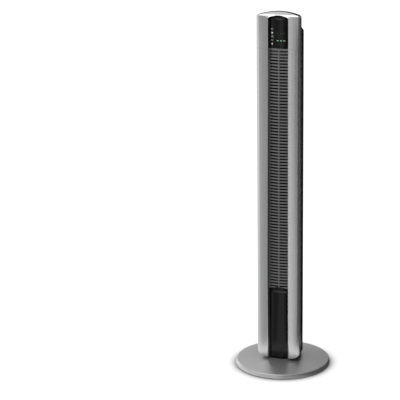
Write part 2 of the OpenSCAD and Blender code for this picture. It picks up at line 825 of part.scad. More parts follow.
module rear_housing() color(dark) difference() {
    union() {
        rear_shell(column_z, shoulder_z - fit_gap / 2);
        intersection() {
            translate([0, 0, column_z - past / 2]) linear_extrude(foot_corner_r) intersection() {
                rear_outline(wall - kiss, front = -parting_y);
                translate([-half_w, -parting_y + fit_gap / 2 + kiss])
                    square([column_w, 2 * rear_r + parting_y]);
            }
            foot_corners(wall);
        }
        for (z = [lower_bulkhead_z - wall, upper_bulkhead_z + duct_t]) bulkhead_ledge(z);
        for (side = [-1, 1], z = column_screw_z)
            intersection() {
                translate([side * column_screw_x, -column_screw_y + fit_gap, z]) rotate([-90, 0, 0])
                    cylinder(r = boss_r, h = rear_r + rear_y);
                translate([0, 0, z - boss_r]) linear_extrude(2 * boss_r) rear_outline();
            }
    }
    foot_corners();
    for (side = [-1, 1], z = column_screw_z)
        translate([side * column_screw_x, -column_screw_y - past, z]) rotate([-90, 0, 0]) {
            cylinder(r = screw_shaft_r + screw_clear, h = rear_r);
            translate([0, 0, 4 + past]) cylinder(r = screw_head_r + 0.3, h = rear_r + rear_y);
        }
    translate([0, 0, intake_z0])
        rear_sector(rear_r - 3 * wall, rear_r + past, intake_half_deg + 0.5, intake_h);
    translate([0, rear_y, cord_hole_z]) rotate([-90, 0, 0]) cylinder(r = gland_r, h = rear_r + past);
    for (z = [lower_bulkhead_z - wall, upper_bulkhead_z]) bulkhead_screw_holes(z, small_shaft_r + kiss);
}

module intake_grille() color(dark) difference() {
    flange_r = rear_r - wall - fit_gap;
    union() {
        translate([0, 0, intake_z0 + fit_gap])
            rear_sector(flange_r - 2, rear_r, intake_half_deg + 0.5 - fit_gap, intake_h - 2 * fit_gap);
        translate([0, 0, intake_z0 - 4])
            rear_sector(flange_r - 2, flange_r, intake_half_deg + 3.5, intake_h + 8);
    }
    band_h = (intake_h - intake_bar_h) / intake_bands;
    slot_deg = 2 * (intake_half_deg - 3) / intake_slots;
    for (b = [0 : intake_bands - 1], s = [0 : intake_slots - 1])
        translate([0, rear_y, intake_z0 + intake_bar_h + b * band_h])
            rotate(90 + (s - (intake_slots - 1) / 2) * slot_deg)
                translate([rear_r - wall, 0, 0]) rotate(intake_slant)
                    translate([-3 * wall, -intake_slot_w / 2, 0])
                        cube([6 * wall, intake_slot_w, band_h - intake_bar_h]);
}

module cord_gland() color(dark) translate([0, rear_y + rear_r, cord_hole_z]) rotate([90, 0, 0])
    translate([0, 0, -gland_flange_t]) difference() {
        union() {
            cylinder(r = gland_r + 2, h = gland_flange_t - fit_gap / 2);
            cylinder(r = gland_r - running_gap, h = wall + gland_neck_l);
            translate([0, 0, wall + gland_neck_l - 2]) cylinder(r = gland_r + gland_barb, h = 2);
        }
        translate([0, 0, -past]) cylinder(r = cord_r, h = wall + gland_neck_l + 2 * past);
    }

// ---------------------------------------------------------------- strip pieces

module outlet_grille() color(grey) {
    z_top = grille_top_z;
    z_bottom = arch_side_z - past;
    half = strip_half - fit_gap;
    blind_z = slot_z0 + (slot_rows - 1) * slot_pitch + slot_pitch / 2;
    r_in = strip_arc_r - bar_depth;
    nose_r = bar_h;
    blind_in = 0.6;
    rib_r0 = r_in + 0.4;
    rib_r1 = strip_arc_r - 0.3;
    rib_z0 = z_bottom + 0.2;
    rib_z1 = z_top - 0.2;
    difference() {
        union() {
            strip_revolve() intersection() {
                translate([r_in, z_bottom]) square([bar_depth, z_top - z_bottom]);
                union() {
                    for (i = [0 : slot_rows]) translate([0, slot_z0 + (i - 0.5) * slot_pitch]) {
                        translate([r_in - past, -bar_h / 2]) square([bar_depth - 1 + past, bar_h]);
                        intersection() {
                            translate([strip_arc_r - nose_r, 0]) circle(r = nose_r);
                            translate([r_in, -bar_h / 2]) square([bar_depth, bar_h]);
                        }
                    }
                    translate([r_in, z_bottom])
                        square([bar_depth - blind_in, slot_z0 - slot_h / 2 - z_bottom]);
                    difference() {
                        translate([r_in, blind_z]) square([bar_depth - blind_in, z_top - blind_z]);
                        for (i = [1 : blind_rows])
                            translate([strip_arc_r - blind_in - blind_depth,
                                blind_z + (i - 0.5) * slot_pitch - slot_h / 2])
                                square([blind_depth + past, slot_h]);
                    }
                }
            }
            strip_slice(rib_r0, rib_r1, rib_z0, rib_z1, mid_rib_w / 2);
            for (side = [-1, 1]) scale([side, 1, 1]) intersection() {
                strip_slice(rib_r0, rib_r1, rib_z0, rib_z1, strip_half);
                translate([half - side_rail_w, -strip_y, z_bottom])
                    cube([side_rail_w + past, strip_y, z_top - z_bottom]);
            }
        }
        through_strip() below_arch(strip_half + past, z_bottom - past, arch_side_z);
        for (side = [-1, 1]) scale([side, 1, 1])
            translate([half, -strip_arc_r, z_bottom - past]) cube([strip_arc_r, 2 * strip_arc_r, z_top]);
        ledge_relief(z_bottom, z_top);
    }
}

// Takes the grille's back away where it would sit in the ledge.
module ledge_relief(z0, z1) {
    for (side = [-1, 1]) scale([side, 1, 1]) intersection() {
        strip_slice(0, panel_back_r, z0 - past, z1 + past, strip_half + past);
        translate([strip_half - ledge_w - fit_gap, -strip_arc_r, z0 - past])
            cube([2 * ledge_w, 2 * strip_arc_r, z1 - z0 + 2 * past]);
    }
    strip_slice(0, panel_back_r, z1 - web_h - fit_gap, z1 + past, strip_half);
}

// A panel of the strip: plain face, bevel and arched recess above it.
module strip_panel(z0, bevel_z, side_z) {
    in_r = strip_arc_r - arch_recess;
    top_z = side_z + arch_rise;
    intersection() {
        strip_revolve() polygon([
            [strip_arc_r, z0], [strip_arc_r, bevel_z], [in_r, bevel_z + arch_bevel_h], [in_r, top_z],
            [in_r - panel_t, top_z], [in_r - panel_t, bevel_z + 1],
            [panel_back_r, bevel_z - arch_bevel_h + 1], [panel_back_r, z0]]);
        through_strip() below_arch(strip_half - fit_gap, z0, side_z, fit_gap);
    }
}

module lower_panel() color(dark) strip_panel(column_z, lower_panel_z, arch_side_z);

head_arch_side_z = panel_top_z + recess_h - 4;

module control_panel() color(dark) {
    z0 = head_floor_z;
    difference() {
        union() {
            strip_panel(z0, panel_top_z, head_arch_side_z);
            for (x = [-1, 1], z = [board_z + 4, board_z + board_h - 4])
                translate([x * (board_w / 2 - 4), -board_y, z]) rotate([90, 0, 0])
                    cylinder(r = 3, h = strip_y - board_y - 3);
        }
        for (i = [0 : 4]) button_place(i) cylinder(r = button_r + button_gap, h = 20, center = true);
        translate([display_x - display_w / 2, -strip_arc_r, head_z + display_h0])
            cube([display_w, strip_arc_r - strip_y + 20, display_h]);
        for (x = [-1, 1], z = [board_z + 4, board_z + board_h - 4])
            translate([x * (board_w / 2 - 4), -board_y + past, z]) rotate([90, 0, 0])
                cylinder(r = 1.2, h = 7);
    }
}

module display_window() color([0.05, 0.09, 0.06]) difference() {
    intersection() {
        strip_slice(panel_back_r, strip_arc_r, head_z, column_top_z, strip_half);
        translate([display_x - display_w / 2 + 0.1, -strip_arc_r, head_z + display_h0 + 0.1])
            cube([display_w - 0.2, strip_arc_r, display_h - 0.2]);
    }
    for (x = light_xs, h = light_heights) light_bar(x, h, 0.1, strip_arc_r);
}

module light_bar(x, h, grow, depth) {
    long = (h == light_heights[0] ? 3 : 1.2) + grow;
    translate([x - long, -depth, head_z + h - 1 - grow]) cube([2 * long, depth, 2 + 2 * grow]);
}

module indicator_lights() color([0.75, 0.95, 0.8])
    for (x = light_xs, h = light_heights) intersection() {
        strip_slice(panel_back_r - 3, strip_arc_r + 0.1, head_z, column_top_z, strip_half);
        light_bar(x, h, 0, strip_arc_r);
    }

// ---------------------------------------------------------------- buttons

// Places children at the face of button i, looking out along -Y.
module button_place(i)
    translate([-button_x, strip_cy - sqrt(strip_arc_r * strip_arc_r - button_x * button_x),
        head_z + button_h0 + i * button_pitch]) rotate([90, 0, 0]) children();

// Cap, a retaining flange behind the panel and the stem that meets its switch.
module push_button(i) color([0.85, 0.86, 0.87]) {
    back = panel_t + 1.7;
    button_place(i) {
        translate([0, 0, -back]) cylinder(r = button_r, h = back + button_proud);
        translate([0, 0, -back - button_flange_t])
            cylinder(r = button_r + button_flange, h = button_flange_t + kiss);
    }
    stem_y = -board_y - switch_h - button_travel - fit_gap;
    face_y = strip_cy - sqrt(strip_arc_r * strip_arc_r - button_x * button_x);
    translate([-button_x, face_y + back, head_z + button_h0 + i * button_pitch]) rotate([-90, 0, 0])
        cylinder(r = 1.6, h = stem_y - face_y - back);
}

module ioniser_button() push_button(0);
module swing_button() push_button(1);
module timer_button() push_button(2);
module speed_button() push_button(3);
module power_button() push_button(4);

module control_board() color(green) difference() {
    translate([-board_w / 2, -board_y, board_z]) cube([board_w, board_t, board_h]);
    for (x = [-1, 1], z = [board_z + 4, board_z + board_h - 4])
        translate([x * (board_w / 2 - 4), -board_y - past, z]) rotate([-90, 0, 0])
            cylinder(r = 1.5, h = board_t + 2 * past);
}

module button_switches() color(dark) for (i = [0 : 4])
    translate([-button_x - 3, -board_y - switch_h, head_z + button_h0 + i * button_pitch - 3])
        cube([6, switch_h, 6]);

module remote_receiver() color(dark) translate([receiver_x, -board_y, head_z + receiver_h0]) {
    translate([-3, -4, -3.5]) cube([6, 4, 7]);
    translate([0, -4, 0]) rotate([90, 0, 0]) cylinder(r = 2, h = 1.4);
}

// ---------------------------------------------------------------- head

// Centre of the brow's arc in y and z, from the edge at its foot and the ridge at its top.
brow_foot = [-brow_front_y, brow_z];
brow_top = [-ridge_y, column_top_z];
brow_chord = brow_top - brow_foot;
brow_centre = (brow_top + brow_foot) / 2
    + sqrt(brow_r * brow_r / (brow_chord * brow_chord) - 1 / 4) * [brow_chord[1], -brow_chord[0]];

// The head's solid envelope: front section, sloping brow and crowned top, drawn in by inset.
module head_volume(z0, inset = 0, back = -ridge_y) {
    intersection() {
        translate([0, 0, z0]) linear_extrude(column_top_z - z0 + past) front_outline(inset, back);
        translate([-half_w, 0, 0]) rotate([90, 0, 90]) linear_extrude(column_w) union() {
            translate(brow_centre) circle(r = brow_r - inset, $fn = 360);
            translate([-front_y - past, z0]) square([front_y, brow_centre[1] - z0]);
        }
        translate([0, 0, column_top_z - crown_r]) rotate([90, 0, 0])
            cylinder(r = crown_r - inset, h = 4 * front_y, center = true, $fn = 360);
    }
}

module head_casing() color(silver) {
    z0 = head_floor_z;
    difference() {
        head_volume(z0);
        head_volume(z0 - past, wall, -ridge_y + past);
        translate([-half_w, -parting_y, z0 - past])
            cube([column_w, parting_y, shoulder_z + shoulder_h + fit_gap / 2 - z0 + past]);
        intersection() {
            through_strip_front() below_arch(strip_half + 2 * strip_flare, z0 - past, head_arch_side_z);
            translate([0, 0, z0 - past]) linear_extrude(head_h) strip_opening();
        }
    }
    strip_sides(z0, head_arch_side_z);
    strip_ledges(z0, panel_top_z - arch_bevel_h - 1);
    intersection() {
        head_volume(z0);
        arch_hood();
    }
}

// Front view in x and z, drawn through the front wall only.
module through_strip_front() {
    translate([0, -strip_back_y + past, 0]) rotate([90, 0, 0]) linear_extrude(front_y) children();
}

// Wall that follows the arch over the control panel, from the front back to the panel's recess.
module arch_hood() {
    translate([0, -strip_back_y - 1, 0]) rotate([90, 0, 0]) linear_extrude(front_y - strip_back_y + 1)
        difference() {
            intersection() {
                translate([0, head_arch_side_z + arch_rise - arch_r]) circle(r = arch_r + wall, $fn = 180);
                translate([-strip_half - wall / 2, head_arch_side_z - wall])
                    square([strip_w + wall, arch_rise + 3 * wall]);
            }
            below_arch(strip_half, head_floor_z, head_arch_side_z);
        }
}

module head_back_cover() color(dark) {
    z0 = shoulder_z + shoulder_h + fit_gap / 2;
    difference() {
        head_back_volume(z0);
        head_back_volume(z0 - past, wall);
    }
}

// The back of the head: straight taper with rounded rear corners under a crown that falls to the rear.
module head_back_volume(z0, inset = 0) {
    round_r = 10;
    front = -ridge_y + fit_gap / 2 - (inset > 0 ? past : 0);
    x0 = rear_half_w - inset;
    x1 = rear_half_w - 5;
    intersection() {
        translate([0, 0, z0]) linear_extrude(column_top_z - z0) intersection() {
            union() {
                polygon([[-x0, front], [x0, front], [x1 - inset, -head_back_y - round_r],
                    [x1 - round_r, -head_back_y], [-x1 + round_r, -head_back_y],
                    [-x1 + inset, -head_back_y - round_r]]);
                for (side = [-1, 1]) translate([side * (x1 - round_r + kiss), -head_back_y - round_r + kiss])
                    circle(r = round_r - inset);
            }
            translate([-half_w, front]) square([column_w, -front - head_back_y - inset]);
        }
        translate([0, -ridge_y, column_top_z - crown_r - 0.2]) rotate([90 - crown_slope, 0, 0])
            cylinder(r = crown_r - inset, h = 4 * front_y, center = true, $fn = 360);
    }
}

// Solid envelope of the shoulder with its sloping edge, drawn in by inset.
module shoulder_volume(z0, inset = 0) {
    z1 = shoulder_z + shoulder_h;
    slope = shoulder_bevel_w / shoulder_bevel_h;
    outer = rear_half_w + past;
    edge = [[0, z0], [outer, z0], [outer, z1 - shoulder_bevel_h - (outer - rear_r) / slope],
        [rear_r - shoulder_bevel_w, z1], [0, z1]];
    translate([0, 0, -inset]) intersection() {
        translate([0, 0, z0]) linear_extrude(z1 - z0 + past)
            rear_outline(inset, front = -parting_y - (inset > 0 ? past : 0));
        union() {
            translate([0, rear_y, 0]) rotate_extrude($fn = 180) polygon(edge);
            for (side = [0, 1]) mirror([side, 0, 0]) translate([0, rear_y, 0]) rotate([90, 0, 0])
                linear_extrude(parting_y + rear_y + past) polygon(edge);
        }
    }
}

module rear_shoulder() color(dark) {
    z0 = shoulder_z + fit_gap / 2;
    z1 = shoulder_z + shoulder_h;
    difference() {
        union() {
            difference() {
                intersection() {
                    shoulder_volume(z0);
                    translate([-half_w, -parting_y + fit_gap / 2, z0])
                        cube([column_w, 2 * rear_r + parting_y, shoulder_h]);
                }
                shoulder_volume(z0 - past, wall);
            }
            translate([-pocket_w / 2 - 2, pocket_y - pocket_d / 2 - 2, z1 - pocket_h - 2])
                cube([pocket_w + 4, pocket_d + 4, pocket_h + 1]);
        }
        translate([-pocket_w / 2, pocket_y - pocket_d / 2, z1 - pocket_h])
            cube([pocket_w, pocket_d, pocket_h + past]);
        translate([-head_opening_half, -front_y, z1 - 2 * wall])
            cube([2 * head_opening_half, front_y - head_back_y - 2 * wall, 3 * wall]);
    }
}

// Half width of the way from the shoulder up into the head.
head_opening_half = rear_half_w - 16;

// ---------------------------------------------------------------- blower

module lower_bulkhead() color(dark) difference() {
    translate([0, 0, lower_bulkhead_z]) linear_extrude(duct_t) inner_outline();
    translate([0, rear_y, lower_bulkhead_z - past]) cylinder(r = shaft_r + 8, h = duct_t + 2 * past);
    bulkhead_screw_holes(lower_bulkhead_z - wall, small_shaft_r + 0.2);
}

module upper_bulkhead() color(dark) translate([0, 0, upper_bulkhead_z]) difference() {
    union() {
        linear_extrude(duct_t) inner_outline();
        translate([0, rear_y, 0])
            cylinder(r = bush_r + cushion_w + bearing_wall, h = bearing_h + duct_t);
    }
    translate([0, rear_y, duct_t]) cylinder(r = bush_r + cushion_w + running_gap, h = bearing_h + past);
    translate([0, rear_y, -past]) cylinder(r = shaft_r + 3, h = bearing_h + duct_t);
    bulkhead_screw_holes(0, small_shaft_r + 0.2);
}

module bearing_cushion() color(dark) translate([0, rear_y, upper_bulkhead_z + duct_t]) difference() {
    cylinder(r = bush_r + cushion_w, h = bearing_h);
    translate([0, 0, -past]) cylinder(r = bush_r + running_gap, h = bearing_h + 2 * past);
}

module bearing_bush() color(bronze) translate([0, rear_y, upper_bulkhead_z + duct_t]) difference() {
    cylinder(r = bush_r, h = bearing_h);
    translate([0, 0, -past]) cylinder(r = shaft_r + running_gap, h = bearing_h + 2 * past);
}

// A straight wall of thickness t between two points, with round ends.
module wall_between(a, b, t) {
    d = b - a;
    translate(a) rotate(atan2(d[1], d[0])) translate([0, kiss - t / 2]) square([norm(d), t - 2 * kiss]);
    for (p = [a, b]) translate(p) circle(r = t / 2);
}

duct_z0 = lower_bulkhead_z + duct_t;
duct_z1 = upper_bulkhead_z;
outlet_half = strip_half - ledge_w - 1;
outlet_y = strip_cy - sqrt(pow(panel_back_r - wall, 2) - pow(outlet_half + duct_t + 1, 2)) + 2 * fit_gap;

// Points of the scroll, which moves away from the wheel on its way to the outlet.
scroll_start_deg = 138;
scroll_end = [-outlet_half, outlet_y + duct_t - rear_y];
scroll_end_deg = 360 + atan2(scroll_end[1], scroll_end[0]);
scroll_steps = 16;
function scroll_r(u) = (wheel_r + duct_gap) * (1 - u) + norm(scroll_end) * u;
function scroll_point(u, extra) = let (a = scroll_start_deg + (scroll_end_deg - scroll_start_deg) * u)
    [(scroll_r(u) + extra) * cos(a), rear_y + (scroll_r(u) + extra) * sin(a)];

module scroll_wall() color(dark) translate([0, 0, duct_z0]) linear_extrude(duct_z1 - duct_z0)
    polygon(concat([for (i = [0 : scroll_steps]) scroll_point(i / scroll_steps, 0)],
        [for (i = [scroll_steps : -1 : 0]) scroll_point(i / scroll_steps, duct_t)]));

module tongue_wall() color(dark) {
    tip_deg = -32;
    tip = (wheel_r + duct_gap + duct_t / 2) * [cos(tip_deg), sin(tip_deg)] + [0, rear_y];
    translate([0, 0, duct_z0]) linear_extrude(duct_z1 - duct_z0) union() {
        wall_between([outlet_half + duct_t / 2, outlet_y + duct_t / 2], tip, duct_t);
        wall_between(tip, tip + [12, 6], duct_t);
    }
}

module blade_ring() {
    mid_r = wheel_r - blade_depth / 2;
    arc_r = blade_depth * 1.05;
    intersection() {
        difference() {
            circle(r = wheel_r - 0.4);
            circle(r = wheel_r - blade_depth);
        }
        for (i = [0 : blade_count - 1]) rotate(i * 360 / blade_count) translate([mid_r + 1, -arc_r + 1])
            difference() {
                circle(r = arc_r, $fn = 60);
                translate([0, -blade_t * 1.4]) circle(r = arc_r + 0.3, $fn = 60);
            }
    }
}

module blower_wheel() color(grey) translate([0, rear_y, wheel_z]) difference() {
    stage_h = (wheel_h - ring_t) / wheel_stages;
    union() {
        linear_extrude(wheel_h) blade_ring();
        for (i = [0 : wheel_stages]) translate([0, 0, i * stage_h]) difference() {
            cylinder(r = wheel_r, h = ring_t);
            if (i > 0 && i < wheel_stages)
                translate([0, 0, -past]) cylinder(r = wheel_r - blade_depth - 1, h = ring_t + 2 * past);
        }
        for (z = [0, wheel_h - wheel_hub_l]) translate([0, 0, z]) cylinder(r = shaft_r + 5, h = wheel_hub_l);
    }
    translate([0, 0, -past]) cylinder(r = shaft_r + kiss, h = wheel_hub_l + past);
    translate([0, 0, wheel_h - wheel_hub_l]) cylinder(r = shaft_r + kiss, h = wheel_hub_l + past);
}

module drive_shaft() color(steel) translate([0, rear_y, motor_z + motor_h - 20])
    cylinder(r = shaft_r, h = wheel_z + shaft_reach - motor_z - motor_h + 20);

module top_axle() color(steel) translate([0, rear_y, wheel_top_z - shaft_reach])
    cylinder(r = shaft_r, h = upper_bulkhead_z + duct_t + bearing_h + 1 - wheel_top_z + shaft_reach);

module blower_motor() color(steel) translate([0, rear_y, motor_z]) difference() {
    union() {
        cylinder(r = motor_r - 6, h = motor_h);
        translate([0, 0, 12]) cylinder(r = motor_r, h = motor_h - 24);
        translate([0, 0, motor_h - kiss]) cylinder(r = 10, h = 4);
        for (a = cushion_degs) rotate(a) translate([motor_r - 1, -ear_w, motor_h - ear_drop - ear_t])
            cube([2 * ear_w + 1, 2 * ear_w, ear_t]);
    }
    translate([0, 0, motor_h - 21]) cylinder(r = shaft_r + running_gap, h = 26 + past);
}

cushion_degs = [60, 180, 300];
ear_w = 5;
cushion_circle_r = motor_r + ear_w;
cushion_r = 4.5;
cushion_h = 4;
ear_drop = 13;
ear_t = 3;

// Pillars down from the bulkhead to a ring that carries the motor's three ears.
module motor_bracket() color(steel) translate([0, rear_y, 0]) difference() {
    ring_z = motor_z + motor_h - ear_drop + cushion_h;
    ring_t = 2;
    union() {
        translate([0, 0, ring_z]) difference() {
            cylinder(r = cushion_circle_r + ear_w, h = ring_t);
            translate([0, 0, -past]) cylinder(r = motor_r + fit_gap - ear_w, h = ring_t + 2 * past);
        }
        for (a = cushion_degs) rotate(a + 30) translate([cushion_circle_r + 1, 0, ring_z])
            cylinder(r = 3.5, h = lower_bulkhead_z - ring_z);
    }
    for (a = cushion_degs) rotate(a) translate([cushion_circle_r, 0, ring_z - past])
        cylinder(r = 2, h = ring_t + 2 * past);
}

module motor_cushions() color(dark) for (a = cushion_degs)
    translate([0, rear_y, motor_z + motor_h - ear_drop])
        rotate(a) translate([cushion_circle_r, 0, 0]) cylinder(r = cushion_r, h = cushion_h);

// ---------------------------------------------------------------- electrics

power_board_y = -37;
relay_w = 10;
relay_d = 8;
relay_h = 14;

module power_board() color(green) translate([-power_board_w / 2, power_board_y, foot_z + foot_t]) {
    cube([power_board_w, board_t, power_board_h]);
    for (i = [1 : 3]) translate([i * power_board_w / 4 - relay_w / 2, board_t, power_board_h / 3])
        cube([relay_w, relay_d, relay_h]);
}

module run_capacitor() color(white)
    translate([-capacitor_w / 2, power_board_y + board_t, foot_z + foot_t + power_board_h - capacitor_h - 7])
        cube([capacitor_w, capacitor_d, capacitor_h]);

module ioniser_module() color(white)
    translate([-ioniser_w / 2, rear_y + bush_r + cushion_w + bearing_wall + 2, upper_bulkhead_z + duct_t])
        cube([ioniser_w, ioniser_d, ioniser_h]);

module column_screws() color(steel)
    for (side = [-1, 1], z = column_screw_z)
        translate([side * column_screw_x, -column_screw_y + 4 + screw_head_h, z]) rotate([90, 0, 0])
            screw(column_screw_l - 1);

module bracket_screws() color(steel) for (p = bracket_posts)
    translate([p[0], p[1], bracket_z + bracket_t + screw_head_h]) rotate([180, 0, 0]) screw(10);

module board_screws() color(steel)
    for (x = [-1, 1], z = [board_z + 4, board_z + board_h - 4])
        translate([x * (board_w / 2 - 4), -board_y + board_t + small_head_h, z]) rotate([90, 0, 0]) {
            cylinder(r = small_head_r, h = small_head_h);
            cylinder(r = board_screw_r, h = board_screw_l);
        }

// Screw places near the rear moulding's wall, taken down to the nearest half millimetre.
bulkhead_screw_spots = [for (side = [-1, 1], spot = [[-22, front_screw_edge], [30, back_screw_edge]])
    [side * floor(2 * (rear_inner_x(spot[0]) - spot[1])) / 2, spot[0]]];

// Screws that hold the lower bulkhead down on its ledge and the upper one up under its own.
module bulkhead_screws() color(steel) for (p = bulkhead_screw_spots) {
    translate([p[0], p[1], lower_bulkhead_z + duct_t + small_head_h]) rotate([180, 0, 0]) {
        cylinder(r = small_head_r, h = small_head_h);
        cylinder(r = small_shaft_r, h = small_head_h + duct_t + wall - 0.3);
    }
    translate([p[0], p[1], upper_bulkhead_z - small_head_h]) {
        cylinder(r = small_head_r, h = small_head_h);
        cylinder(r = small_shaft_r, h = small_head_h + duct_t + wall - 0.3);
    }
}

module bulkhead_screw_holes(z0, r) for (p = bulkhead_screw_spots)
    translate([p[0], p[1], z0 - past]) cylinder(r = r, h = duct_t + wall + 2 * past);

// ---------------------------------------------------------------- assembly

base_front_half();
base_rear_half();
base_feet();
base_screws();
swivel_hub();
thrust_washer();
fixed_sector_gear();
retaining_clip();
column_foot();
swivel_bush();
swing_bracket();
swing_motor();
drive_pinion();
front_cover();
rear_housing();
rear_shoulder();
intake_grille();
outlet_grille();
lower_panel();
head_casing();
head_back_cover();
control_panel();
display_window();
indicator_lights();
power_button();
speed_button();
timer_button();
swing_button();
ioniser_button();
control_board();
button_switches();
remote_receiver();
lower_bulkhead();
upper_bulkhead();
scroll_wall();
tongue_wall();
blower_wheel();
drive_shaft();
top_axle();
bearing_bush();
bearing_cushion();
blower_motor();
motor_bracket();
motor_cushions();
power_board();
run_capacitor();
ioniser_module();
cord_gland();
column_screws();
bracket_screws();
board_screws();
bulkhead_screws();
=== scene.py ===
import json
import math

import bmesh
import bpy
import numpy as np
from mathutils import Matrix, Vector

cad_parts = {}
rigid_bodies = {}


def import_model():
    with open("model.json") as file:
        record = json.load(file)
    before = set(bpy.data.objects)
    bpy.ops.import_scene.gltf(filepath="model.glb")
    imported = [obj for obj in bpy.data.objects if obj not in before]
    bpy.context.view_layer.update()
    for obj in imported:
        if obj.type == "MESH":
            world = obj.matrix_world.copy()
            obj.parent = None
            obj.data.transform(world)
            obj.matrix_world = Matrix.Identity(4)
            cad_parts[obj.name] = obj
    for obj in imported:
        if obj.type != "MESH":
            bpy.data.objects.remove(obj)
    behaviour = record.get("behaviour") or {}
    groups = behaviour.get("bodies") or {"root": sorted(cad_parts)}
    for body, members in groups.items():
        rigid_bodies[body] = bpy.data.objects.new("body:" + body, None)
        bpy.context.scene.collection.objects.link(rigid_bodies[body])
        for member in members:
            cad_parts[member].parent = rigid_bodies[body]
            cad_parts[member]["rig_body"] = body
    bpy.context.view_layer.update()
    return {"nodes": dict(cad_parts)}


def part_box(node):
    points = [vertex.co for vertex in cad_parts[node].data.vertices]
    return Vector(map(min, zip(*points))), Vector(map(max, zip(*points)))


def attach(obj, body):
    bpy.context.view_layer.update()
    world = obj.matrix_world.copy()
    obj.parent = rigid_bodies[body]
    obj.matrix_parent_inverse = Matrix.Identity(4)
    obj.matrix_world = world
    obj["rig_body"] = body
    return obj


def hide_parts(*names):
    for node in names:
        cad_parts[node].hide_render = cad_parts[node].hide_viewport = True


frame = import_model()
nodes = frame["nodes"]
scene = bpy.context.scene

# ---------------------------------------------------------------- viewing place
# The fan stands on a plain pale floor in a studio, under a broad lamp, with a smaller lamp in front
# and one behind, both on its left. The camera looks down on it a little, from the right of its front.
# What shiny paint mirrors there is pale, with one dark band on the right and a fainter one on the left; in
# the floor these are painted reflections.


class Signal:
    """A number or colour that changes over a surface. Arithmetic on it adds the Math nodes it needs."""

    def __init__(self, graph, socket):
        self.graph = graph
        self.socket = socket

    def math(self, operation, *others):
        return self.graph.node("Math", {"operation": operation}, dict(enumerate((self,) + others)))

    def __add__(self, other):
        return self.math("ADD", other)

    def __sub__(self, other):
        return self.math("SUBTRACT", other)

    def __mul__(self, other):
        return self.math("MULTIPLY", other)

    def __truediv__(self, other):
        return self.math("DIVIDE", other)

    def __rsub__(self, other):
        return self.graph.node("Math", {"operation": "SUBTRACT"}, {0: other, 1: self})

    def step(self, low, high):
        """Runs smoothly from 0 at low to 1 at high, or the other way where low is the larger."""
        settings = {"interpolation_type": "SMOOTHSTEP"}
        return self.graph.node("MapRange", settings, {0: self, 1: low, 2: high})

    __radd__ = __add__
    __rmul__ = __mul__


class Graph:
    """The nodes behind one shader. set() gives its sockets values or links; node() adds any other node."""

    def __init__(self, tree, shader):
        self.tree = tree
        self.shader = tree.nodes[shader]

    def set(self, **sockets):
        for name, value in sockets.items():
            self.feed(self.shader.inputs[name.replace("_", " ")], value)

    def feed(self, socket, value):
        if isinstance(value, Signal):
            self.tree.links.new(value.socket, socket)
        elif socket.type == "RGBA" and len(value) == 3:
            socket.default_value = (*value, 1)
        else:
            socket.default_value = value

    def node(self, kind, settings=None, inputs=None, output=0):
        """Adds a node of that type, gives it its settings, then its inputs, and returns one output."""
        made = self.tree.nodes.new("ShaderNode" + kind)
        for name, value in (settings or {}).items():
            setattr(made, name, value)
        for name, value in (inputs or {}).items():
            self.feed(made.inputs[name], value)
        return Signal(self, made.outputs[output])

    def blend(self, factor, first, second):
        """A colour that runs from first to second as factor goes from 0 to 1."""
        return self.node("Mix", {"data_type": "RGBA"}, {0: factor, 6: first, 7: second}, output=2)

    def split(self, place, axes):
        """The coordinates of place along those axes, such as "XY"."""
        return [self.node("SeparateXYZ", inputs={0: place}, output=axis) for axis in axes]

    def sight(self, first, *others):
        """1 for those kinds of ray, such as "Is Camera Ray", and 0 for all the others."""
        found = self.node("LightPath", output=first)
        for ray in others:
            found = found.math("MAXIMUM", self.node("LightPath", output=ray))
        return found


tilt, turn = math.radians(73.12), math.radians(15.12)
camera = bpy.data.objects.new("camera", bpy.data.cameras.new("camera"))
camera.location = (1.415, -5.237, 2.2235)
camera.rotation_euler = (tilt, 0, turn)
camera.data.lens = 153.36
camera.data.sensor_width = 36
camera.data.shift_x = -0.2071
camera.data.shift_y = 0.0005
scene.collection.objects.link(camera)
scene.camera = camera
scene.view_settings.view_transform = "Standard"

right_depth, left_depth = 0.96, 0.6


def right_band(bearing):
    """The dark band on the right, by the tangent of the angle away from straight ahead."""
    return bearing.step(-0.01, 0.14)


def left_band(bearing):
    """The fainter band on the left, by the same tangent."""
    return bearing.step(-0.82, -0.6) * bearing.step(-0.1, -0.35)


# The bands go on above the horizon in front, fading on the left; behind, the room gets paler with height.
world = bpy.data.worlds.new("studio")
world.use_nodes = True
world.cycles.sampling_method = "NONE"
scene.world = world
studio = Graph(world.node_tree, "Background")
direction = studio.node("TexCoord", output="Generated")
sideways, backwards, upwards = studio.split(direction, "XYZ")
clear = studio.sight("Is Camera Ray", "Is Transmission Ray")
mirrored = studio.sight("Is Glossy Ray")
front_bearing = sideways / (backwards * -1).math("MAXIMUM", 0.02)
low_left = left_band(front_bearing) * upwards.step(0.5, 0.25)
front_bands = (1 - right_band(front_bearing) * right_depth) * (1 - low_left * left_depth)
front_glow = front_bands * backwards.step(0.3, -0.1)
fall_to_right = 1 - sideways.step(-0.5, 0.2) * 0.5 - sideways.step(0, 0.3) * 0.4
back_glow = (backwards.step(-0.1, 0.5) * 0.65).math("MAXIMUM", upwards.step(0.15, 0.6) * 0.85)
overhead_glow = upwards.step(0.6, 0.9) * 0.35 + 0.05
in_paint = (back_glow * fall_to_right).math("MAXIMUM", front_glow) + overhead_glow
ambient = 0.15
studio.set(Color=(1, 1, 1), Strength=clear + mirrored * in_paint + (1 - clear) * (1 - mirrored) * ambient)


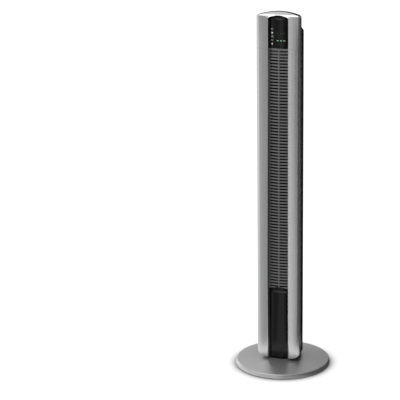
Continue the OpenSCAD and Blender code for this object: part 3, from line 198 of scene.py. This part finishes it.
def lamp(name, place, aim, width, height, watts):
    """A soft rectangular lamp at place, turned so that it shines towards aim."""
    light = bpy.data.lights.new(name, "AREA")
    light.shape = "RECTANGLE"
    light.size = width
    light.size_y = height
    light.energy = watts
    made = bpy.data.objects.new(name, light)
    made.location = place
    x, y, z = np.array(aim, float) - place
    made.rotation_euler = (math.atan2(math.hypot(x, y), -z), 0, math.atan2(-x, y))
    scene.collection.objects.link(made)


lamp("overhead", (-0.2, -0.8, 3.4), (0, 0, 0.6), 1.8, 1.8, 20)
lamp("key", (-2.4, -2.2, 2.6), (0, 0, 0.7), 1.2, 1.2, 16)
lamp("rear", (-2.8, 2, 1.5), (0, 0, 0.7), 1.2, 1.2, 20)

floor_half = 9.0
floor_corners = [(-floor_half, -floor_half, 0), (floor_half, -floor_half, 0),
                 (floor_half, floor_half, 0), (-floor_half, floor_half, 0)]
floor_mesh = bpy.data.meshes.new("floor")
floor_mesh.from_pydata(floor_corners, [], [(0, 1, 2, 3)])
floor = bpy.data.objects.new("floor", floor_mesh)
scene.collection.objects.link(floor)
paper_material = bpy.data.materials.new("floor_paper")
paper_material.use_nodes = True
paper_material.cycles.emission_sampling = "NONE"
floor_mesh.materials.append(paper_material)
paper = Graph(paper_material.node_tree, "Principled BSDF")

# The floor's colour in mirrored rays is painted reflection: dark bands, laid out from the foot of the
# column's front face and starting past the base, whose rim mirrors only the pale floor beside it, made
# paler still; and a pale patch on the left. The camera sees the floor evenly white, with a painted contact
# shadow round the base.
spot = paper.node("TexCoord", output="Object")
spot_x, spot_y = paper.split(spot, "XY")
reach = paper.node("VectorMath", {"operation": "LENGTH"}, {0: spot}, output="Value")
past_base = reach.step(0.24, 0.3)
face_x, face_y = 0.05, 0.05
ahead = (spot_y * -1 - face_y).math("MAXIMUM", 0.02)
# painted reflection: dark bands and pale patches in the floor's colour, for mirrored rays only
right_dark_reflection = (right_band((spot_x - face_x) / ahead) * past_base).math("MAXIMUM", spot_x.step(0.1, 0.17))
left_dark_reflection = left_band((spot_x + face_x) / ahead) * past_base
left_pale_reflection = (spot_x * -1 - spot_y.math("ABSOLUTE") * 0.8).step(0.05, 0.4)
pale = 1.08 + left_pale_reflection * 0.4 + (1 - past_base) * 0.4
painted_reflection = pale * (1 - right_dark_reflection * right_depth) * (1 - left_dark_reflection * left_depth)
seen = paper.sight("Is Camera Ray", "Is Transmission Ray")
mirror_ray = paper.sight("Is Glossy Ray")
# painted shadow: the floor's glow, seen by the camera, is darkened by ambient occlusion round the base
contact_shade = paper.node("AmbientOcclusion", inputs={"Distance": 0.05}, output="AO").math("POWER", 4)
paper.set(Base_Color=paper.blend(mirror_ray, (0.35, 0.35, 0.35), (0.1, 0.1, 0.1)), Roughness=0.9,
          Specular_IOR_Level=0, Emission_Color=seen * contact_shade + mirror_ray * painted_reflection,
          Emission_Strength=1)

# ---------------------------------------------------------------- base feet and screws
# Soft rubber pads pressed into the underside of the base, and the pan-head screws that hold its two
# halves to the swivel hub. The rubber is matt black and serves for every cushion in the fan; the screws
# and all other metal parts are zinc-plated steel.


class Finish(Graph):
    """A named surface finish: a Principled shader, with the pattern that the maker's process leaves."""

    def __init__(self, name, **constants):
        self.material = bpy.data.materials.new(name)
        self.material.use_nodes = True
        super().__init__(self.material.node_tree, "Principled BSDF")
        self.set(**constants)

    def place(self):
        """The surface point in metres, in the model's own frame."""
        return self.node("TexCoord", output="Object")

    def along(self, axis):
        """One coordinate, "X", "Y" or "Z", of the surface point."""
        return self.split(self.place(), axis)[0]

    def grain(self, per_metre, detail=2, stretch=None):
        """Noise from 0 to 1 with that many cells in a metre; stretch scales its three axes."""
        place = self.place()
        if stretch:
            place = self.node("Mapping", inputs={"Vector": place, "Scale": stretch})
        return self.node("TexNoise", inputs={"Vector": place, "Scale": per_metre, "Detail": detail})

    def bump(self, height, metres):
        """Raises the surface by height times that many metres."""
        self.set(Normal=self.node("Bump", inputs={"Height": height, "Distance": metres, "Strength": 1}))


def dress(finish, *names):
    """Gives that finish to these CAD nodes."""
    for name in names:
        mesh = nodes[name].data
        mesh.materials.clear()
        mesh.materials.append(finish.material)


rubber = Finish("rubber", Base_Color=(0.03, 0.03, 0.03), Roughness=0.75)
rubber.bump(rubber.grain(900), 0.0001)
dress(rubber, "base_feet", "bearing_cushion", "motor_cushions", "cord_gland")

steel = Finish("zinc_steel", Base_Color=(0.58, 0.58, 0.6), Metallic=1)
steel.set(Roughness=steel.grain(400, 3) * 0.2 + 0.24)
dress(steel, "base_screws", "column_screws", "bracket_screws", "board_screws", "bulkhead_screws",
      "retaining_clip", "drive_shaft", "top_axle", "motor_bracket", "swing_bracket", "swing_motor",
      "blower_motor")

# ---------------------------------------------------------------- base shell
# Two half-round mouldings that meet on the line through the neck, sprayed with a fine metallic silver.
# The top of the base is left a little duller than the column, and drags its sheen out along x.

crease = math.radians(28)
flake_size, ripple_size, ripple_height = 2600, 220, 0.00001
dark_flake, light_flake = (0.47, 0.47, 0.474), (0.53, 0.53, 0.534)


def smoothed(finish, slot, *names):
    """Stands a copy of each of these CAD nodes in for it, with its triangles joined and its curves shaded
    as curves: only edges that turn by more than the crease angle stay sharp."""
    for name in names:
        mesh = nodes[name].data.copy()
        mesh.materials.clear()
        mesh.materials.append(finish.material)
        joined = bmesh.new()
        joined.from_mesh(mesh)
        bmesh.ops.remove_doubles(joined, verts=joined.verts, dist=1e-6)
        joined.to_mesh(mesh)
        joined.free()
        mesh.shade_smooth()
        mesh.set_sharp_from_angle(angle=crease)
        piece = bpy.data.objects.new(name + "_shell", mesh)
        scene.collection.objects.link(piece)
        weighted = piece.modifiers.new("weighted", "WEIGHTED_NORMAL")
        weighted.keep_sharp = True
        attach(piece, nodes[name]["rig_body"])
        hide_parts(name)


def sprayed_silver(name, metallic):
    """Metallic paint: flakes darker and lighter than their mean, over the faint ripple of the spray."""
    paint = Finish(name, Metallic=metallic)
    paint.set(Base_Color=paint.blend(paint.grain(flake_size, 1), dark_flake, light_flake))
    paint.bump(paint.grain(ripple_size), ripple_height)
    return paint


base_silver = sprayed_silver("base_silver", 0.65)
base_silver.set(Roughness=base_silver.grain(30, 3, (0.1, 1, 1)) * 0.1 + 0.32)
smoothed(base_silver, "silver_paint", "base_front_half", "base_rear_half")

# ---------------------------------------------------------------- swivel
# The black hub stands on the base and turns in a bush. A wide acetal washer carries the column's
# weight, and the sector gear stays with the base while the motor's pinion walks round it.

black_plastic = Finish("textured_black", Base_Color=(0.014, 0.014, 0.0145), Specular_IOR_Level=0.008)
black_plastic.set(Roughness=black_plastic.grain(120, 3) * 0.12 + 0.44)
black_plastic.bump(black_plastic.grain(1500), 0.00008)
acetal = Finish("acetal", Base_Color=(0.82, 0.82, 0.78), Roughness=0.42)
acetal.bump(acetal.grain(500), 0.00003)
dress(black_plastic, "swivel_hub", "column_foot")
dress(acetal, "thrust_washer", "fixed_sector_gear", "swivel_bush", "drive_pinion")

# ---------------------------------------------------------------- rear of the column
# One long textured black moulding with the air intake let into its back, the cover of the head's
# back, and a shoulder between them that holds the pocket for the remote control.

dress(black_plastic, "intake_grille")
smoothed(black_plastic, "black_plastic", "rear_housing", "rear_shoulder", "head_back_cover")

# ---------------------------------------------------------------- blower and duct
# A tall drum wheel moulded in dark grey plastic: short curved blades between ring discs, each stage
# turned half a blade from the next, with a hub at both ends. It runs on a steel shaft in a sintered
# bronze bush, between a scroll wall and a tongue wall that lead its air to the outlet.

# The wheel's grey is set darker than its plastic: painted shade for the inside of the column, seen through
# the slots.
wheel_plastic_and_shade = Finish("wheel_grey", Base_Color=(0.05, 0.05, 0.052), Roughness=0.5)
wheel_plastic_and_shade.bump(wheel_plastic_and_shade.grain(600), 0.00004)
bronze = Finish("sintered_bronze", Base_Color=(0.5, 0.34, 0.16), Roughness=0.45, Metallic=1)
bronze.bump(bronze.grain(1800), 0.00004)
dress(bronze, "bearing_bush")
dress(black_plastic, "lower_bulkhead", "upper_bulkhead", "scroll_wall", "tongue_wall")


disc_crease = math.radians(35)


def solid_piece(name, *grids):
    """One closed mesh from grids of points shaped (pieces, rows, columns, 3). A piece's columns run round a
    closed section, and its rows carry the section along a path: a ring (True), or one with capped ends."""
    points, faces, used = [], [], 0
    for grid, ring in grids:
        index = used + np.arange(grid[..., 0].size).reshape(grid.shape[:3])
        here = index if ring else index[:, :-1]
        there = np.roll(index, -1, axis=1) if ring else index[:, 1:]
        corners = (here, np.roll(here, -1, axis=2), np.roll(there, -1, axis=2), there)
        faces += np.stack(corners, axis=-1).reshape(-1, 4).tolist()
        if not ring:
            faces += index[:, 0].tolist() + index[:, -1].tolist()
        points.append(grid.reshape(-1, 3))
        used += index.size
    mesh = bpy.data.meshes.new(name)
    mesh.from_pydata(np.concatenate(points), [], faces)
    outward = bmesh.new()
    outward.from_mesh(mesh)
    bmesh.ops.recalc_face_normals(outward, faces=outward.faces)
    outward.to_mesh(mesh)
    outward.free()
    mesh.shade_smooth()
    mesh.set_sharp_from_angle(angle=disc_crease)
    piece = bpy.data.objects.new(name, mesh)
    scene.collection.objects.link(piece)
    return piece


def at_angle(radius, angle, height):
    """Points (radius cos angle, radius sin angle, height), with the three arrays spread over each other."""
    return np.stack(np.broadcast_arrays(radius * np.cos(angle), radius * np.sin(angle), height), axis=-1)


def turned(*profile, steps=96):
    """Ring swept by the closed profile of (r, z) points once round the wheel's axis."""
    radius, height = np.array(profile, float).T
    angle = np.linspace(0, 2 * np.pi, steps, endpoint=False)[:, None]
    return at_angle(radius, angle, height)[None] + wheel_foot


low, high = (np.array(corner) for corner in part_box("blower_wheel"))
wheel_foot = np.array([(low[0] + high[0]) / 2, (low[1] + high[1]) / 2, low[2]])
wheel_r = (high[0] - low[0]) / 2
wheel_h = high[2] - low[2]
blades, stages = 28, 8
blade_depth, blade_t, blade_inset = 0.0085, 0.0011, 0.0006
disc_t, disc_past_blade, chamfer = 0.002, 0.001, 0.0004
hub_r, hub_h, bore_r = 0.009, 0.014, 0.0041
overlap, straight_share = 1.12, 0.35

# A blade's section runs out along its front and back along its rear: the angle of its middle line grows
# from 0 to overlap times the pitch, and its thickness follows the square root of 1 - (2 t - 1)^4.
pitch = 2 * np.pi / blades
stage_h = (wheel_h - disc_t) / stages
outward_t = np.linspace(0, 1, 6)
t = np.concatenate([outward_t, outward_t[-2:0:-1]])
face_side = np.repeat([1, -1], [6, 4])
blade_radius = wheel_r - blade_inset - blade_depth * (1 - t)
lean = pitch * overlap * (straight_share * t + (1 - straight_share) * t ** 2)
half_t = blade_t / 2 * np.sqrt(1 - (2 * t - 1) ** 4)
section_angle = lean + face_side * half_t / blade_radius
stage_of, blade_of = (count.reshape(-1, 1, 1) for count in np.divmod(np.arange(stages * blades), blades))
blade_angle = (blade_of + 0.5 * (stage_of % 2)) * pitch + section_angle
blade_ends = stage_of * stage_h + np.array([0, stage_h + disc_t]).reshape(1, 2, 1)
blade_grid = at_angle(blade_radius, blade_angle, blade_ends) + wheel_foot

disc_in = wheel_r - blade_depth - disc_past_blade
discs = [turned((disc_in, z), (wheel_r - chamfer, z), (wheel_r, z + chamfer),
                (wheel_r, z + disc_t - chamfer), (wheel_r - chamfer, z + disc_t), (disc_in, z + disc_t))
         for z in np.arange(1, stages) * stage_h]
ends = [turned((bore_r, z), (wheel_r - chamfer, z), (wheel_r, z + inward * chamfer),
               (wheel_r, z + inward * (disc_t - chamfer)), (wheel_r - chamfer, z + inward * disc_t),
               (hub_r, z + inward * disc_t), (hub_r, z + inward * hub_h), (bore_r, z + inward * hub_h))
        for z, inward in ((0, 1), (wheel_h, -1))]
wheel = solid_piece("drum_wheel", (blade_grid, False), *((grid, True) for grid in discs + ends))
wheel.data.materials.append(wheel_plastic_and_shade.material)
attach(wheel, "blower")
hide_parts("blower_wheel")

# ---------------------------------------------------------------- electrics
# Green circuit boards, a film capacitor in a pale case, the sealed ioniser, the receiver and the
# switches behind the keys. They are screwed or clipped inside the column, all out of sight in use.

board_green = Finish("circuit_board", Roughness=0.35, Coat_Weight=0.3)
board_green.set(Base_Color=board_green.blend(board_green.grain(260, 3).step(0.45, 0.6), (0.02, 0.12, 0.05),
                                             (0.035, 0.17, 0.075)))
pale_plastic = Finish("pale_caps", Base_Color=(0.62, 0.63, 0.64), Roughness=0.3, Coat_Weight=0.3)
pale_plastic.bump(pale_plastic.grain(700), 0.00002)
gloss_black = Finish("gloss_black", Base_Color=(0.012, 0.012, 0.013), Specular_IOR_Level=0.2)
gloss_black.set(Roughness=gloss_black.grain(25, 3) * 0.05 + 0.14)
dress(board_green, "control_board", "power_board")
dress(pale_plastic, "run_capacitor")
dress(gloss_black, "ioniser_module", "remote_receiver", "button_switches")

# ---------------------------------------------------------------- front of the column
# The silver front moulding and the head frame one recessed strip: a gloss black panel at the foot, the
# louvred outlet in satin dark grey, and the control panel. Behind their rounded front edges the louvres
# carry painted shade, near black, so the slots and the blind grooves read as black.

strip_r, strip_axis = 0.11, (0, 0.058, 0)
louvre_front, groove_floor = 0.0004, 0.0018
silver = sprayed_silver("silver_paint", 0.85)
silver.set(Roughness=silver.grain(30, 3) * 0.04 + 0.2)
grille_grey = Finish("grille_grey", Roughness=0.4)
flat_place = grille_grey.node("VectorMath", {"operation": "MULTIPLY"},
                              {0: grille_grey.place(), 1: (1, 1, 0)})
from_axis = grille_grey.node("VectorMath", {"operation": "DISTANCE"}, {0: flat_place, 1: strip_axis},
                             output="Value")
# painted shade: the louvres' colour goes near black deeper than their front edges
painted_groove_shade = (strip_r - from_axis).step(louvre_front, groove_floor)
grille_grey.set(Base_Color=grille_grey.blend(painted_groove_shade, (0.4, 0.4, 0.405), (0.006, 0.006, 0.006)))
grille_grey.bump(grille_grey.grain(1100), 0.00005)
smoothed(silver, "silver_paint", "front_cover", "head_casing")
dress(grille_grey, "outlet_grille")
smoothed(gloss_black, "gloss_black", "lower_panel", "control_panel")

# ---------------------------------------------------------------- controls
# A smoked display window with two rows of clear light pipes, the lower one lit and the upper one dim,
# and five small round keys, black caps with a white symbol printed on each and lit from behind.

row_gap = (1.13, 1.145)
smoked = Finish("smoked_window", Base_Color=(0.014, 0.02, 0.015), Specular_IOR_Level=0.2)
smoked.set(Roughness=smoked.grain(20) * 0.05 + 0.16)
light_pipe = Finish("light_pipe", Roughness=0.25, Emission_Strength=1)
upper_row = light_pipe.along("Z").step(*row_gap)
light_pipe.set(Base_Color=light_pipe.blend(upper_row, (0.6, 0.9, 0.66), (0.08, 0.2, 0.1)),
               Emission_Color=light_pipe.blend(upper_row, (0.196, 0.28, 0.213), (0.014, 0.02, 0.015)))
dress(smoked, "display_window")
dress(light_pipe, "indicator_lights")


def key_cap(node, glow, symbol):
    """Black cap of that key with a white symbol on it. From a point's place across and up, in millimetres
    from the middle of the key, symbol works out how far inside the symbol it lies."""
    low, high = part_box(node)
    cap = Finish(node + "_cap", Emission_Strength=1)
    across = (cap.along("X") - (low.x + high.x) / 2) * 1000
    up = (cap.along("Z") - (low.z + high.z) / 2) * 1000
    shown = symbol(across, up).step(-0.15, 0.15)
    cap.set(Base_Color=cap.blend(shown, (0.02, 0.02, 0.021), (0.8, 0.8, 0.8)),
            Emission_Color=cap.blend(shown, (0, 0, 0), (glow, glow, glow)),
            Roughness=cap.grain(900) * 0.1 + 0.25)
    dress(cap, node)


def either(first, second):
    """Inside one shape or the other."""
    return first.math("MAXIMUM", second)


def both(first, *others):
    """Inside all of the shapes."""
    for other in others:
        first = first.math("MINIMUM", other)
    return first


def away(value):
    """How far a coordinate is from zero, on either side."""
    return value.math("ABSOLUTE")


def radius_of(across, up):
    """Distance from the middle of the key."""
    return (across * across + up * up).math("SQRT")


def ring(across, up):
    """A thin circle: half its stroke less the distance from its middle line."""
    ring_r, half_stroke = 2.7, 0.45
    return half_stroke - away(radius_of(across, up) - ring_r)


def bar(across, up, half_width, low_end, high_end):
    """An upright bar: the least of half_width - |across|, up - low_end and high_end - up."""
    return both(half_width - away(across), up - low_end, high_end - up)


def power_symbol(across, up):
    """The ring, open at the top over a half width of 1 mm, and a bar in the opening."""
    gap = either(away(across) - 1, up * -1)
    return either(both(ring(across, up), gap), bar(across, up, 0.4, 0.6, 3.4))


def fan_symbol(across, up):
    """Three blades: 2.2 + 1.2 cos(3 angle) less the radius."""
    three_turns = up.math("ARCTAN2", across) * 3
    return three_turns.math("COSINE") * 1.2 + 2.2 - radius_of(across, up)


def clock_symbol(across, up):
    """The ring, with a hand that points up and a shorter one to the right."""
    hands = either(bar(across, up, 0.35, -0.3, 1.9), bar(up, across, 0.35, -0.3, 1.5))
    return either(ring(across, up), hands)


def arrows_symbol(across, up):
    """A level bar between two arrow heads, each a triangle 1.3 to 3.4 mm out."""
    heads = both(away(across) - 1.3, 3.4 - away(across) - away(up))
    return either(heads, bar(up, across, 0.4, -1.6, 1.6))


def drop_symbol(across, up):
    """A circle of 2 mm radius a little below the middle, under a point 3.4 mm up."""
    point = both((3.4 - up) * 0.5 - away(across), up + 0.2)
    return either(2 - radius_of(across, up + 0.8), point)


key_cap("power_button", 0.05, power_symbol)
key_cap("speed_button", 0.5, fan_symbol)
key_cap("timer_button", 0.1, clock_symbol)
key_cap("swing_button", 0.05, arrows_symbol)
key_cap("ioniser_button", 0.4, drop_symbol)
